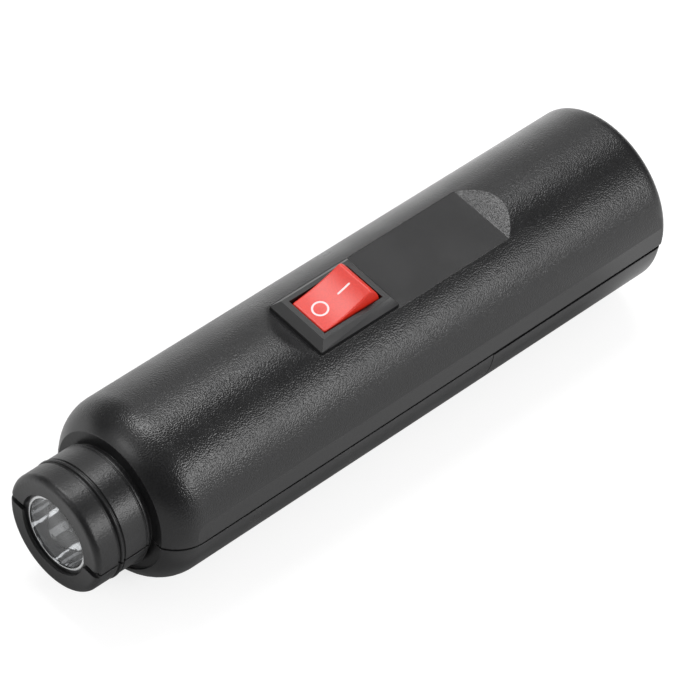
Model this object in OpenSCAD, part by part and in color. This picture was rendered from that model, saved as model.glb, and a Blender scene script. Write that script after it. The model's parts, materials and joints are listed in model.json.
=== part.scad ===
// Battery egg candler: a round torch with a rocker switch on its back and a lens in its nose.
// The part lies on the flat of its underside: +X runs along the beam, +Z points up through the switch,
// and the origin lies under the middle of the body. Sizes are in millimetres.

/* [Body] */
// Diameter of the round body
body_d = 37.8; // [34:0.1:42]
// Length from the rear face to the front of the shoulder
body_length = 138.5; // [125:0.5:160]
// Straight depth of the lower half under the parting plane
lower_drop = 1.6; // [1.2:0.1:3]
// Wall thickness of the shells
wall = 1.8; // [1.6:0.1:2]
// Radius of the shoulder
shoulder_r = 9.5; // [6:0.5:11]
// Edge radius at the rear face
rear_edge_r = 1.6; // [0.8:0.1:2]
// Width of the flat along the underside
keel_w = 11; // [8:0.5:14]
// Height of the open line along the parting plane
seam_gap = 0.5; // [0.2:0.05:0.6]
// Height of the facet along each side, above the parting plane
side_facet_h = 4.7; // [3:0.1:7]

/* [Nose] */
// Length of the nose in front of the shoulder
nose_length = 12.8; // [11.6:0.1:16]
// Diameter of the nose
nose_d = 25.6; // [23.2:0.1:28.2]
// Radius of the nose's front edge
nose_edge_r = 1.4; // [0.8:0.1:2]
// Diameter of the light opening
opening_d = 17.6; // [16:0.1:19.2]
// Thickness of the ring in front of the lens
ring_t = 0.9; // [0.7:0.1:1.6]
// Diameter of the bore that holds the light
bore_d = 20.6; // [18.6:0.1:22.6]
// Distance of the ring groove behind the nose's face
groove_back = 5.75; // [5:0.05:7]

/* [Panel] */
// Width of the flat panel in the body's back
panel_w = 16; // [14.4:0.1:18]
// Rear edge of the panel, from the rear face
panel_rear = 38.9; // [34:0.1:50]
// Run of the ramp at each end of the panel
ramp_run = 4.7; // [3:0.1:7]

/* [Switch] */
// Centre of the switch, from the rear face
switch_x = 79.9; // [72:0.1:88]
// Length of the bezel
bezel_l = 21; // [19:0.1:23]
// Width of the bezel
bezel_w = 15; // [13.6:0.1:16.4]
// Height of the bezel over the panel
bezel_h = 2.4; // [2:0.1:2.6]
// Length of the case under the panel
case_l = 18.8; // [17:0.1:20.6]
// Width of the case under the panel
case_w = 12.6; // [11.4:0.1:13.8]
// Depth of the case under the panel
case_depth = 11.4; // [10.4:0.1:13]
// Width of the rocker
rocker_w = 9.8; // [9:0.1:10.8]
// Radius of the rocker's ends about its pivot
rocker_reach = 7.8; // [7.2:0.1:8.6]
// Angle between off and on
rocker_throw = 34; // [26:1:38]
// Angle between the contact blade's two positions
blade_throw = 16; // [10:1:18]

/* [Light] */
// Diameter of the lens
lens_d = 16; // [14.4:0.1:17.4]
// Thickness of the lens at its rim
lens_t = 1.1; // [0.8:0.1:1.6]
// Rise of the lens's front
lens_rise = 0.8; // [0.4:0.1:1.2]
// Depth of the reflector from its rim to the board
reflector_depth = 11; // [10:0.1:12]
// Thickness of the LED board
board_t = 1.6; // [1:0.1:2]

/* [Battery] */
// Diameter of a cell
cell_d = 10.5; // [9.5:0.1:11.5]
// Length of a cell over its button
cell_length = 44.5; // [40:0.1:49]
// Depth of the cells' axes under the parting plane
cell_drop = 3.4; // [3.3:0.1:4]
// Length of a contact spring in place
spring_room = 4.1; // [3:0.1:5]
// Distance of the battery door's front edge behind the bay's front wall
door_setback = 3.85; // [3.4:0.05:6]

/* [Clearances] */
// Gap between pieces that stay apart
gap = 0.3; // [0.25:0.05:0.4]
// Radial gap of a turning fit
run_gap = 0.05; // [0.02:0.01:0.08]
// Gap between two pieces that touch on the real object
touch = 0.05; // [0.02:0.01:0.1]

/* [Hidden] */
$fn = 64;

// Body
body_r = body_d / 2;
inner_r = body_r - wall;
total_length = body_length + nose_length;
keel_z = -lower_drop - sqrt(body_r * body_r - keel_w * keel_w / 4);
far = 2 * body_d;
facet_y = sqrt(body_r * body_r - side_facet_h * side_facet_h);
facet_inset = 0.05;
black = "#1b1b1d";

// Nose, with places measured from the rear face
nose_r = nose_d / 2;
opening_r = opening_d / 2;
bore_r = bore_d / 2;
nose_start = body_length - shoulder_r;
groove_r = 0.4;
bead_r = 0.3;
bead_line_r = 0.25;
groove_x = total_length - groove_back;
bead_x = groove_x - groove_r - bead_r;
root_depth = 0.3 * (nose_r - bore_r);
root_rear = 1.1;
root_front = 0.1;
root_line_r = 0.2;
root_lip = 0.4;
nose_seam_gap = 0.6;
ring_gap_low = 0.9;
ring_gap_high = 0.7;

// Light stack, from the nose's ring back to the rib behind the board
pocket_front = total_length - ring_t;
rim_front = pocket_front - touch;
board_front = rim_front - reflector_depth;
board_rear = board_front - board_t;
rib_t = 1.2;
rib_step = 1.7;
rib_rear = board_rear - touch - rib_t;
rim_t = 1.5;
lens_r = lens_d / 2;
lens_rear = rim_front - lens_t;
mouth_r = lens_r - 0.5;
rim_r = bore_r - gap;
throat_r = 3.1;
cup_t = 1.1;
cup_steps = 12;
board_r = bore_r - gap;
emitter_r = throat_r - gap;
emitter_h = 1;
dome_r = 2.1;

// Panel and switch
flat_z = sqrt(body_r * body_r - panel_w * panel_w / 4);
panel_front = switch_x + bezel_l / 2 + gap;
cutout_play = 0.2;
bezel_edge = 0.6;
bezel_slope = 1.4;
bezel_lip = 0.5;
pivot_z = -0.4;
trunnion_r = 1;
trunnion_reach = case_w / 2 - 0.1;
mouth_l = 2 * rocker_reach + 0.1;
mouth_w = rocker_w + 0.5;
chamber_l = 2 * (rocker_reach + gap);
floor_t = 1.5;
floor_z = -case_depth + floor_t;
rocker_rise = 3.85;
rocker_lean = 0.3;
rocker_top = 5;
hollow_r = 30;
skirt_depth = 1.2;
stem_r = 2;
stem_depth = 4.8;
pin_bore_r = 1.3;
pin_bore_top = 0.9;
pin_r = pin_bore_r - 0.08;
pin_top = -2.2;
wing_w = 6;
wing_reach = 0.8;
wing_depth = 3.6;

// Switch contacts, with heights from the panel
blade_l = 10.4;
blade_w = 4;
blade_t = 0.4;
knife_r = 0.4;
hub_r = knife_r + run_gap + blade_t;
blade_level = hub_r - blade_t;
rivet_r = 1;
rivet_x = blade_l / 2 - rivet_r - 0.2;
pad_t = 0.4;
pad_l = 3;
pad_back = 1.6;
pad_z = floor_z + pad_t;
blade_dip = (rivet_x + rivet_r) * sin(blade_throw / 2);
blade_z = pad_z + blade_dip + touch - (blade_level - blade_t) * cos(blade_throw / 2);
pin_centre = pivot_z - blade_z - blade_level - blade_t - pin_r - touch;
terminal_t = 2 * knife_r;
terminal_tail = 7;
tail_z = -case_depth - terminal_tail;
tail_hole_r = 0.7;
load_x = 5;

// Battery bay, with places measured from the rear face
cell_r = cell_d / 2;
cell_space = 0.1;
cell_pitch = cell_d + cell_space;
button_r = 1.9;
button_h = 1.2;
crimp_w = 0.5;
door_inset = 0.5;
door_gap = 0.5;
door_line = 0.2;
door_top_gap = 0.8;
tray_rear = door_inset + wall + door_gap;
tray_wall = 1;
plate_t = 0.4;
dimple_h = 0.5;
dimple_r = 1.5;
rear_plate = tray_rear + tray_wall;
cell_rear = rear_plate + plate_t + dimple_h + touch;
front_plate = cell_rear + cell_length + 2 * touch + spring_room;
bulkhead_rear = front_plate + plate_t;
bulkhead_t = 1.2;
bulkhead_front = bulkhead_rear + bulkhead_t;
middle_rear = front_plate - dimple_h - touch - cell_length;
door_front = bulkhead_rear - door_setback;
tray_play = 0.2;
tray_cover = 1.35;
tray_t = 2.9;
tray_top = cell_r + tray_cover - cell_drop;
tray_bottom = tray_top - tray_t;

// Door rails
rail_t = 0.8;
rail_out = inner_r - gap;
rail_in = rail_out - rail_t;
rail_top = 3;
hook_reach = 0.5;
hook_h = 0.8;
door_lip = 0.7;
hook_top = -door_top_gap - door_lip - 0.2;
hook_low = hook_top - hook_h;
tray_side_gap = 0.4;
tray_half = rail_in - tray_side_gap;
rail_rear = tray_rear;
rail_setback = 1.5;
rail_front = door_front - rail_setback;
tongue_w = 10;
tongue_l = 3;
tongue_t = 1.2;
grip_count = 5;
grip_step = 2.4;
grip_w = 1.2;
grip_depth = 0.5;
grip_l = 9;
grip_setback = 6;

// Cells lie in a row, and the middle one hangs lower where the body is too narrow for the row
cell_side_gap = 0.14;
cell_side = rail_in - cell_side_gap - cell_r;
middle_drop = sqrt(max(0, cell_pitch * cell_pitch - cell_side * cell_side));
side_z = -cell_drop;
middle_z = side_z - middle_drop;
plate_w = 8;
plate_below = 3.8;
plate_margin = 1;
plate_high = tray_bottom;
tab_w = 3;
tab_lap = 1;
tab_rise = 2.2;
tab_top = tray_top + tab_rise;

// Screws
screw_r = 1;
screw_l = 8;
head_r = 1.9;
head_h = 1.4;
recess_l = 2.3;
recess_w = 0.6;
recess_depth = 0.8;
boss_r = 3.2;
tray_boss_r = 2.8;
seat_z = -5;
tray_seat_t = 1.05;
tray_seat_z = tray_top - tray_seat_t;
front_screw_setback = 20;
rear_screw_x = (bulkhead_front + switch_x - case_l / 2 - wing_reach) / 2;
tray_screw_x = (tray_rear + bulkhead_rear) / 2;
head_gap = 0.1;
head_rise = tray_seat_z - head_h - side_z;
head_reach = sqrt(max(0, pow(cell_r + head_gap, 2) - head_rise * head_rise));
tray_screw_y = cell_side - head_reach - head_r;
body_screws = [[rear_screw_x, 0], [body_length - front_screw_setback, 0]];
tray_screws = [[tray_screw_x, tray_screw_y], [tray_screw_x, -tray_screw_y]];

// Wires
wire_r = 0.8;
wire_sides = 8;
wire_steps = 3;
lead_r = 0.3;
resistor_r = 1.2;
resistor_l = 6.3;
resistor_setback = 22;
resistor_rear = body_length - resistor_setback;
resistor_y = -7;
resistor_z = 1;
lead_l = 4;
lead_end = resistor_rear - lead_l;
tray_wire_z = tray_top + wire_r + touch;
tail_wire_z = flat_z + tail_z + tail_hole_r + terminal_t / 2;
wire_out = 0.4;
wire_side = cell_side + wire_out;
wire_end_l = 5;
wire_sag = 1;
led_pad_y = 5;
led_pad_z = -2;
common_x = switch_x - terminal_t / 2 - touch;
feed_x = switch_x + load_x + terminal_t / 2 + touch;
function between(a, b, t) = a + (b - a) * t;
positive_route = [
    [rear_plate + plate_t + touch, -cell_side, tray_wire_z],
    [between(rear_plate, bulkhead_front, 0.2), -cell_side, tray_wire_z],
    [between(rear_plate, bulkhead_front, 0.6), -wire_side, tray_wire_z],
    [bulkhead_front + wire_end_l / 2, -wire_side, tray_wire_z],
    [between(bulkhead_front, common_x, 0.4), -0.8 * wire_side, tray_wire_z - wire_sag],
    [between(bulkhead_front, common_x, 0.7), -0.35 * wire_side, tail_wire_z + wire_sag],
    [common_x - wire_end_l / 2, 0, tail_wire_z],
    [common_x, 0, tail_wire_z]];
switched_route = [
    [feed_x, 0, tail_wire_z],
    [feed_x + wire_end_l, 0.2 * resistor_y, tail_wire_z],
    [between(feed_x, lead_end, 0.5), 0.7 * resistor_y, tail_wire_z - wire_sag],
    [lead_end - wire_end_l, resistor_y, resistor_z],
    [lead_end - touch, resistor_y, resistor_z]];
negative_route = [
    [bulkhead_rear + touch, cell_side, tray_wire_z],
    [bulkhead_front + wire_end_l, cell_side, tray_wire_z],
    [between(bulkhead_front, board_rear, 0.25), wire_side, tray_wire_z - 3 * wire_sag],
    [between(bulkhead_front, board_rear, 0.5), wire_side, 0],
    [between(bulkhead_front, board_rear, 0.75), between(wire_side, led_pad_y, 0.4), -wire_sag],
    [board_rear - 2 * wire_end_l, between(wire_side, led_pad_y, 0.8), led_pad_z],
    [board_rear - wire_end_l, led_pad_y, led_pad_z],
    [board_rear - touch, led_pad_y, led_pad_z]];

// Springs
coil_sides = 6;
coil_rings = 10;
contact_wire_r = 0.3;
contact_turns = 3;
contact_wide_r = 3.2;
contact_narrow_r = 2;
pin_wire_r = 0.15;
pin_coil_r = 0.95;
pin_turns = 3;

// Frames
module place() {
    translate([-total_length / 2, 0, -keel_z]) children();
}
module at_switch() {
    translate([switch_x, 0, flat_z]) children();
}
module at_pivot() {
    at_switch() translate([0, 0, pivot_z]) rotate([0, rocker_throw / 2, 0]) children();
}
module both_sides() {
    children();
    mirror([0, 1, 0]) children();
}

// A half section, with x as the radius and y from the rear face, becomes a turned solid or a slab
module along_x() {
    rotate([90, 0, 90]) children();
}
module full_turn() {
    along_x() rotate_extrude() children();
}
module half_turn() {
    along_x() rotate_extrude(angle = 180) children();
}
module slab(height) {
    rotate([0, 0, -90]) linear_extrude(height) {
        children();
        mirror([1, 0]) children();
    }
}
module rod(radius, from_x, to_x) {
    translate([from_x, 0, 0]) rotate([0, 90, 0]) cylinder(r = radius, h = to_x - from_x);
}
module upright(radius, from_z, to_z) {
    translate([0, 0, from_z]) cylinder(r = radius, h = to_z - from_z);
}
module crossbar(radius, length) {
    rotate([90, 0, 0]) cylinder(r = radius, h = length, center = true);
}
module quarter(radius) {
    intersection() {
        circle(radius);
        square(2 * radius);
    }
}

// Half section of the barrel with its shoulder
module body_section(inset, rear) {
    r = body_r - inset;
    front = body_length - inset;
    front_r = shoulder_r - inset;
    translate([0, rear]) square([r, front - front_r - rear]);
    translate([0, front - front_r]) square([r - front_r, front_r]);
    translate([r - front_r, front - front_r]) quarter(front_r);
}
module rounded_body_section(rear) {
    difference() {
        body_section(0, rear);
        translate([body_r - rear_edge_r, rear]) difference() {
            translate([0, -1]) square([rear_edge_r + 1, rear_edge_r + 1]);
            translate([0, rear_edge_r]) circle(rear_edge_r);
        }
    }
}

// Half section of the nose, with its rounded front edge and a fine bead between two round grooves
module nose_section() {
    difference() {
        union() {
            translate([0, nose_start]) square([nose_r, total_length - nose_edge_r - nose_start]);
            translate([0, total_length - nose_edge_r]) square([nose_r - nose_edge_r, nose_edge_r]);
            translate([nose_r - nose_edge_r, total_length - nose_edge_r]) quarter(nose_edge_r);
            translate([nose_r - bead_r / 3, bead_x]) circle(bead_r);
        }
        translate([nose_r - groove_r / 4, groove_x]) circle(groove_r);
        translate([nose_r - bead_line_r / 4, bead_x - bead_r - bead_line_r]) circle(bead_line_r);
    }
}

// Half section of the deep groove where the nose meets the shoulder, with a fine line that leaves a lip
module root_groove_section() {
    depth = nose_r - body_r + shoulder_r;
    root_x = nose_start + sqrt(shoulder_r * shoulder_r - depth * depth);
    translate([nose_r - root_depth, root_x - root_rear]) square([4 * root_depth, root_rear + root_front]);
    translate([nose_r, root_x + root_front + root_lip + root_line_r]) circle(root_line_r);
}

// Half section of the bore that holds the board, reflector and lens
module light_section() {
    translate([0, nose_start]) square([bore_r, rib_rear - nose_start]);
    translate([0, rib_rear]) square([bore_r - rib_step, rib_t]);
    translate([0, rib_rear + rib_t]) square([bore_r, pocket_front - rib_rear - rib_t]);
    translate([0, pocket_front]) square([opening_r, 2 * ring_t]);
}

// Solids of the lower half: the barrel sits lower by lower_drop, with straight sides up to the parting plane
module lower_barrel(rear) {
    translate([0, 0, -lower_drop]) {
        mirror([0, 0, 1]) half_turn() rounded_body_section(rear);
        slab(lower_drop) rounded_body_section(rear);
    }
}
module lower_hollow(rear) {
    translate([0, 0, -lower_drop]) {
        full_turn() body_section(wall, rear);
        slab(lower_drop + 1) body_section(wall, rear);
    }
}
module side_facets() {
    lean = (body_r - facet_inset - facet_y) / side_facet_h;
    both_sides() translate([-1, 0, 0]) along_x() linear_extrude(body_length + 1) polygon([
        [body_r - facet_inset + lean, -1], [facet_y - lean, side_facet_h + 1],
        [body_d, side_facet_h + 1], [body_d, -1]]);
}
module keel_cut() {
    translate([-1, -body_r, keel_z - body_r]) cube([total_length + 2, body_d, body_r]);
}

// Upper shell
module panel_backing() {
    length = panel_front - panel_rear + 2 * (ramp_run + wall);
    translate([panel_rear - ramp_run - wall, -body_r, flat_z - wall]) cube([length, body_d, body_r]);
}
module panel_cut() {
    rise = 1.5;
    height = rise * (body_r - flat_z);
    rotate([90, 0, 0]) linear_extrude(body_d, center = true) polygon([
        [panel_rear, flat_z], [panel_front, flat_z],
        [panel_front + rise * ramp_run, flat_z + height], [panel_rear - rise * ramp_run, flat_z + height]]);
}
module switch_cutout() {
    length = case_l + 2 * cutout_play;
    width = case_w + 2 * cutout_play;
    at_switch() translate([-length / 2, -width / 2, -2 * wall]) cube([length, width, 3 * wall]);
}
module door_rails() {
    both_sides() translate([rail_rear, 0, 0]) along_x() linear_extrude(rail_front - rail_rear) polygon([
        [rail_in, rail_top], [inner_r + wall / 3, rail_top], [inner_r + wall / 3, 0], [rail_out, 0],
        [rail_out, hook_top], [inner_r + hook_reach, hook_top], [inner_r + hook_reach, hook_low],
        [rail_in, hook_low]]);
}
module upper_bosses() {
    intersection() {
        union() {
            for (p = body_screws) translate(p) upright(boss_r, 0, body_r);
            for (p = tray_screws) translate(p) upright(tray_boss_r, tray_top + touch, body_r);
        }
        full_turn() body_section(wall / 2, wall);
    }
}
module boss_pilots() {
    for (p = body_screws) translate(p) upright(screw_r + run_gap, -1, seat_z + screw_l + 1);
    for (p = tray_screws) translate(p) upright(screw_r + run_gap, tray_top - 1, tray_seat_z + screw_l + 1);
}
module upper_shell() color(black) place() {
    difference() {
        union() {
            difference() {
                half_turn() difference() {
                    union() {
                        rounded_body_section(0);
                        nose_section();
                    }
                    root_groove_section();
                }
                difference() {
                    full_turn() {
                        body_section(wall, wall);
                        light_section();
                    }
                    panel_backing();
                }
            }
            door_rails();
            upper_bosses();
        }
        panel_cut();
        side_facets();
        ring_notch();
        switch_cutout();
        boss_pilots();
    }
}

// Lower shell, with the battery tray that reaches back over the cells. Its edge is rebated, so that a dark
// line shows along the seam, and a notch parts the two halves of the front ring on each side
module seam_rebate() {
    inset = wall / 2;
    translate([0, 0, -seam_gap]) slab(2 * seam_gap) difference() {
        square([far, total_length + 1]);
        union() {
            body_section(inset, 0);
            translate([0, nose_start]) square([nose_r - inset, pocket_front - nose_start]);
        }
    }
    translate([0, 0, -nose_seam_gap]) slab(2 * nose_seam_gap)
        translate([nose_r - inset, body_length]) square([far, far]);
}
module ring_notch() {
    translate([0, 0, -ring_gap_low]) slab(ring_gap_low + ring_gap_high)
        translate([0, pocket_front]) square([far, far]);
}
module tray_section() {
    difference() {
        translate([-tray_half, tray_bottom]) square([2 * tray_half, tray_top - tray_bottom]);
        for (y = [-cell_side, cell_side]) translate([y, side_z]) circle(cell_r + tray_play);
        translate([0, middle_z]) circle(cell_r + tray_play);
    }
}
module tray_wall_section() {
    intersection() {
        low = middle_z - plate_below - plate_margin;
        translate([-tray_half, low]) square([2 * tray_half, tray_top - low]);
        translate([0, -lower_drop]) circle(inner_r - door_gap);
    }
}
module bulkhead_section() {
    edge_r = inner_r + wall / 3;
    translate([-tray_half, -lower_drop]) square([2 * tray_half, tray_top + lower_drop]);
    translate([-edge_r, -lower_drop]) square([2 * edge_r, lower_drop - seam_gap]);
    intersection() {
        translate([0, -lower_drop]) circle(edge_r);
        translate([-far, -far - lower_drop]) square([2 * far, far]);
    }
}
module wall_between(from_x, to_x) {
    translate([from_x, 0, 0]) along_x() linear_extrude(to_x - from_x) children();
}
module tongue_band(from_x, to_x, in_r, out_r, width) {
    intersection() {
        wall_between(from_x, to_x) translate([0, -lower_drop]) difference() {
            circle(out_r);
            circle(in_r);
        }
        translate([0, -width / 2, -far]) cube([far, width, far - lower_drop]);
    }
}
module tongue_slot() {
    in_r = inner_r - tongue_t - 2 * gap;
    tongue_band(door_front, door_front + tongue_l + gap, in_r, inner_r, tongue_w + 2 * gap);
}
module tab_slots() {
    depth = tab_top - tray_bottom;
    for (x = [rear_plate, front_plate], y = [-cell_side, cell_side])
        translate([x - touch, y - tab_w / 2 - gap, tray_bottom - 1])
            cube([plate_t + 2 * touch, tab_w + 2 * gap, depth]);
}
module screw_seats() {
    for (p = body_screws) translate(p) {
        upright(screw_r + gap, seat_z - 1, 1);
        upright(head_r + gap, keel_z - 1, seat_z);
    }
    for (p = tray_screws) translate(p) {
        upright(screw_r + gap, tray_seat_z - 1, tray_top + 1);
        upright(head_r + gap, tray_bottom - 1, tray_seat_z);
    }
}
module lower_shell() color(black) place() {
    lower_rear = door_front + door_line;
    difference() {
        union() {
            difference() {
                union() {
                    lower_barrel(0);
                    mirror([0, 0, 1]) half_turn() nose_section();
                }
                lower_hollow(wall);
                full_turn() light_section();
                full_turn() root_groove_section();
                translate([lower_rear - far, -body_d, -body_d]) cube([far, far, far]);
                seam_rebate();
                ring_notch();
            }
            wall_between(tray_rear, bulkhead_front) tray_section();
            wall_between(tray_rear, rear_plate) tray_wall_section();
            wall_between(bulkhead_rear, bulkhead_front) bulkhead_section();
            for (p = body_screws) translate(p) upright(boss_r + gap, -lower_drop - inner_r - wall / 2, 0);
        }
        keel_cut();
        screw_seats();
        tab_slots();
        tongue_slot();
    }
}

// Battery door, with its slots for the rails, its front tongue and its grip grooves
module rail_slots() {
    both_sides() translate([rail_rear - gap, 0, hook_low - gap])
        cube([far, inner_r + hook_reach + gap, hook_h + gap + 0.2]);
}
module door_tongue() {
    out_r = inner_r - gap;
    tongue_band(door_front - tongue_l, door_front + tongue_l, out_r - tongue_t, out_r, tongue_w);
    tongue_band(door_front - tongue_l, door_front, out_r - tongue_t, inner_r + wall / 3, tongue_w);
}
module grip_grooves() {
    for (i = [0:grip_count - 1])
        translate([door_front - grip_setback - i * grip_step, -grip_l / 2, keel_z - 1])
            cube([grip_w, grip_l, grip_depth + 1]);
}
module battery_door() color(black) place() {
    difference() {
        union() {
            difference() {
                lower_barrel(door_inset);
                lower_hollow(door_inset + wall);
                translate([door_front, -body_d, -body_d]) cube([2 * total_length, far, far]);
                translate([-1, -body_d, -door_top_gap]) cube([total_length, far, far]);
            }
            door_tongue();
        }
        rail_slots();
        keel_cut();
        grip_grooves();
    }
}

// Screws, driven up from below
module screw() {
    difference() {
        upright(head_r, -head_h, 0);
        for (turn = [0, 90]) rotate([0, 0, turn])
            translate([-recess_l / 2, -recess_w / 2, -2 * recess_depth - head_h])
                cube([recess_l, recess_w, 3 * recess_depth]);
    }
    upright(screw_r, -touch, screw_l - screw_r);
    translate([0, 0, screw_l - screw_r]) cylinder(r1 = screw_r, r2 = screw_r / 4, h = screw_r);
}
module shell_screws() color("silver") place() {
    for (p = body_screws) translate([p.x, p.y, seat_z]) screw();
    for (p = tray_screws) translate([p.x, p.y, tray_seat_z]) screw();
}

// Switch: bezel and case in one piece
module bezel_side(length, depth) {
    rotate([90, 0, 0]) linear_extrude(depth, center = true) polygon([
        [-length / 2, 0], [length / 2, 0], [length / 2, bezel_edge], [length / 2 - bezel_slope, bezel_h],
        [bezel_slope - length / 2, bezel_h], [-length / 2, bezel_edge]]);
}
module snap_wings() {
    for (turn = [0, 180]) rotate([0, 0, turn])
        rotate([90, 0, 0]) linear_extrude(wing_w, center = true) polygon([
            [case_l / 2 - 0.5, -wall - gap], [case_l / 2 + wing_reach, -wall - gap],
            [case_l / 2, -wall - wing_depth], [case_l / 2 - 0.5, -wall - wing_depth]]);
}
module terminal_slots() {
    for (x = [0, load_x]) translate([x - terminal_t / 2 - touch, -blade_w / 2 - touch, -case_depth - 1])
        cube([terminal_t + 2 * touch, blade_w + 2 * touch, floor_t + 2]);
}
module switch_housing() color("#151516") place() at_switch() {
    difference() {
        union() {
            intersection() {
                bezel_side(bezel_l, bezel_w + 1);
                rotate([0, 0, 90]) bezel_side(bezel_w, bezel_l + 1);
            }
            translate([-case_l / 2, -case_w / 2, -case_depth])
                cube([case_l, case_w, case_depth + bezel_edge]);
            snap_wings();
        }
        translate([-mouth_l / 2, -mouth_w / 2, floor_z]) cube([mouth_l, mouth_w, case_depth + bezel_h]);
        translate([-chamber_l / 2, -mouth_w / 2, floor_z])
            cube([chamber_l, mouth_w, bezel_h - bezel_lip - floor_z]);
        translate([0, 0, pivot_z]) crossbar(trunnion_r + run_gap, case_w + 2);
        terminal_slots();
    }
}

// Rocker, at rest with its nose end pressed, turning on two trunnions
module rocker_sides() {
    half = rocker_w / 2;
    along_x() linear_extrude(far, center = true) polygon([
        [-half, -skirt_depth], [half, -skirt_depth],
        [half - rocker_lean, rocker_top], [rocker_lean - half, rocker_top]]);
}
module rocker() color("#d8261f") place() at_pivot() {
    difference() {
        union() {
            difference() {
                intersection() {
                    crossbar(rocker_reach, rocker_w);
                    rocker_sides();
                }
                translate([0, 0, rocker_rise + hollow_r]) crossbar(hollow_r, rocker_w + 2);
            }
            crossbar(trunnion_r, 2 * trunnion_reach);
            upright(stem_r, -stem_depth, 0);
        }
        upright(pin_bore_r, -stem_depth - 1, pin_bore_top);
    }
}
module plunger() color("ivory") place() at_pivot() {
    upright(pin_r, -pin_centre, pin_top);
    translate([0, 0, -pin_centre]) sphere(pin_r);
}
module contact_blade() color("#c9a24a") place() at_switch() translate([0, 0, blade_z])
    rotate([0, -blade_throw / 2, 0]) {
        rotate([90, 0, 0]) linear_extrude(blade_w, center = true) difference() {
            union() {
                translate([-blade_l / 2, blade_level]) square([blade_l, blade_t]);
                intersection() {
                    circle(hub_r);
                    translate([-hub_r, 0]) square(2 * hub_r);
                }
            }
            circle(knife_r + run_gap);
        }
        translate([rivet_x, 0, 0]) upright(rivet_r, blade_level - blade_t, blade_level + blade_t / 2);
    }
module tail_hole() {
    translate([0, 0, tail_z + 2 * tail_hole_r]) rotate([0, 90, 0])
        cylinder(r = tail_hole_r, h = 4 * terminal_t, center = true);
}
module common_terminal() color("#c9a24a") place() at_switch() difference() {
    rotate([90, 0, 0]) linear_extrude(blade_w, center = true) {
        translate([0, blade_z]) circle(knife_r);
        translate([-terminal_t / 2, tail_z]) square([terminal_t, blade_z - tail_z]);
    }
    tail_hole();
}
module load_terminal() color("#c9a24a") place() at_switch() translate([load_x, 0, 0]) difference() {
    union() {
        translate([-pad_back, -blade_w / 2, floor_z]) cube([pad_l, blade_w, pad_t]);
        translate([-terminal_t / 2, -blade_w / 2, tail_z]) cube([terminal_t, blade_w, pad_z - tail_z]);
    }
    tail_hole();
}

// Light
module lens() color("#dfe9ee", 0.5) place() full_turn() {
    dome = (lens_r * lens_r + lens_rise * lens_rise) / (2 * lens_rise);
    translate([0, lens_rear]) square([lens_r, lens_t]);
    intersection() {
        translate([0, rim_front + lens_rise - dome]) circle(dome, $fn = 200);
        translate([0, rim_front]) square([lens_r, 2 * lens_rise]);
    }
}
function cup_r(t) = sqrt(throat_r * throat_r + (mouth_r * mouth_r - throat_r * throat_r) * t);
module reflector() color("#e4e6e8") place() full_turn() {
    low = board_front + touch;
    top = lens_rear - touch;
    rim_back = rim_front - rim_t;
    under = (rim_back - low) / (top - low);
    inside = [for (i = [0:cup_steps]) [cup_r(i / cup_steps), low + (top - low) * i / cup_steps]];
    seat = [[lens_r + touch, top], [lens_r + touch, rim_front], [rim_r, rim_front], [rim_r, rim_back]];
    outside = [for (i = [cup_steps:-1:0])
        let (t = under * i / cup_steps) [cup_r(t) + cup_t, low + (top - low) * t]];
    polygon(concat(inside, seat, outside));
}
module led_emitter() color("#f2e6a0") place() full_turn() translate([0, board_front]) {
    square([emitter_r, emitter_h]);
    translate([0, emitter_h]) quarter(dome_r);
}
module led_board() color("#e9e9e4") place() rod(board_r, board_rear, board_front);
module series_resistor() color("#c8a878") place() translate([0, resistor_y, resistor_z]) {
    cap = 1.4;
    rod(resistor_r, resistor_rear, resistor_rear + resistor_l);
    rod(resistor_r * 1.12, resistor_rear, resistor_rear + cap);
    rod(resistor_r * 1.12, resistor_rear + resistor_l - cap, resistor_rear + resistor_l);
    rod(lead_r, lead_end, board_rear - touch);
}

// Battery: a cell points its button to the rear, or to the front when turned
module cell() {
    rod(cell_r, button_h + crimp_w, cell_length);
    rod(cell_r - crimp_w, button_h, cell_length);
    rod(button_r, 0, button_h + 1);
}
module cell_left() color("#3d6fa8") place() translate([cell_rear, cell_side, side_z]) cell();
module cell_right() color("#3d6fa8") place() translate([cell_rear, -cell_side, side_z]) cell();
module cell_middle() color("#3d6fa8") place()
    translate([middle_rear + cell_length, 0, middle_z]) rotate([0, 0, 180]) cell();

// A contact plate spans from_y to to_y and reaches below the cell axis at z, with an optional solder tab
module contact_plate(x, from_y, to_y, z) {
    low = z - plate_below;
    wall_between(x, x + plate_t) intersection() {
        translate([from_y - plate_w / 2, low]) square([to_y - from_y + plate_w, plate_high - low]);
        translate([0, -lower_drop]) circle(inner_r - door_gap);
    }
}
module solder_tab(x, y) {
    low = plate_high - tab_lap;
    translate([x, y - tab_w / 2, low]) cube([plate_t, tab_w, tab_top - low]);
}
module dimple(from_x, to_x, y, z) {
    translate([0, y, z]) rod(dimple_r, from_x, to_x);
}
module positive_contact() color("#cfd2d4") place() {
    contact_plate(rear_plate, -cell_side, -cell_side, side_z);
    solder_tab(rear_plate, -cell_side);
    dimple(rear_plate, rear_plate + plate_t + dimple_h, -cell_side, side_z);
}
module rear_link() color("#cfd2d4") place() {
    contact_plate(rear_plate, 0, cell_side, middle_z);
    dimple(rear_plate, rear_plate + plate_t + dimple_h, cell_side, side_z);
}
module front_link() color("#cfd2d4") place() {
    contact_plate(front_plate, -cell_side, 0, middle_z);
    dimple(front_plate - dimple_h, front_plate + plate_t, 0, middle_z);
}
module negative_contact() color("#cfd2d4") place() {
    contact_plate(front_plate, cell_side, cell_side, side_z);
    solder_tab(front_plate, cell_side);
}

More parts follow.
